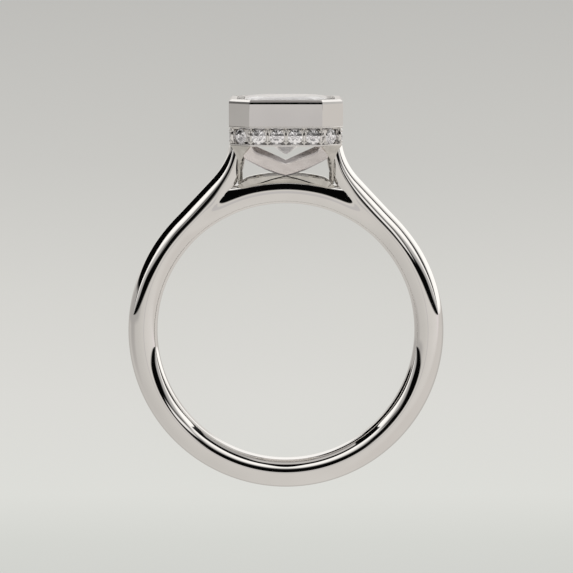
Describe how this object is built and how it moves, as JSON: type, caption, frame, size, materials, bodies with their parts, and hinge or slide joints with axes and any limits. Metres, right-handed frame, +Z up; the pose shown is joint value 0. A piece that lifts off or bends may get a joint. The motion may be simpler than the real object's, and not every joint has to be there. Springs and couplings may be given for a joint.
{
  "type": "cathedral setting ring",
  "caption": "Finger ring with cathedral shoulders, an open basket, a halo of small round stones and an octagonal bezel round a step-cut stone, lying on its side.",
  "frame": {"origin": "middle of the finger hole, half way along it", "axes": "+X across the ring, +Y towards the head, +Z up from the surface that the ring lies on; the finger hole's own line leans from +Z by about 7.1 degrees, because the ring rests on the band's foot and on the edge of its head"},
  "size_m": [0.0202, 0.0253, 0.0075],
  "materials": {
    "white_metal": "mirror polished white gold or platinum",
    "clear_stone": "polished colourless cut stone"
  },
  "bodies": {
    "root": {"ring_mount": "white_metal", "centre_stone": "clear_stone", "halo_stone_01": "clear_stone", "halo_stone_02": "clear_stone", "halo_stone_03": "clear_stone", "halo_stone_04": "clear_stone", "halo_stone_05": "clear_stone", "halo_stone_06": "clear_stone", "halo_stone_07": "clear_stone", "halo_stone_08": "clear_stone", "halo_stone_09": "clear_stone", "halo_stone_10": "clear_stone", "halo_stone_11": "clear_stone", "halo_stone_12": "clear_stone", "halo_stone_13": "clear_stone", "halo_stone_14": "clear_stone", "halo_stone_15": "clear_stone", "halo_stone_16": "clear_stone", "halo_stone_17": "clear_stone", "halo_stone_18": "clear_stone", "halo_stone_19": "clear_stone", "halo_stone_20": "clear_stone"}
  },
  "joints": []
}
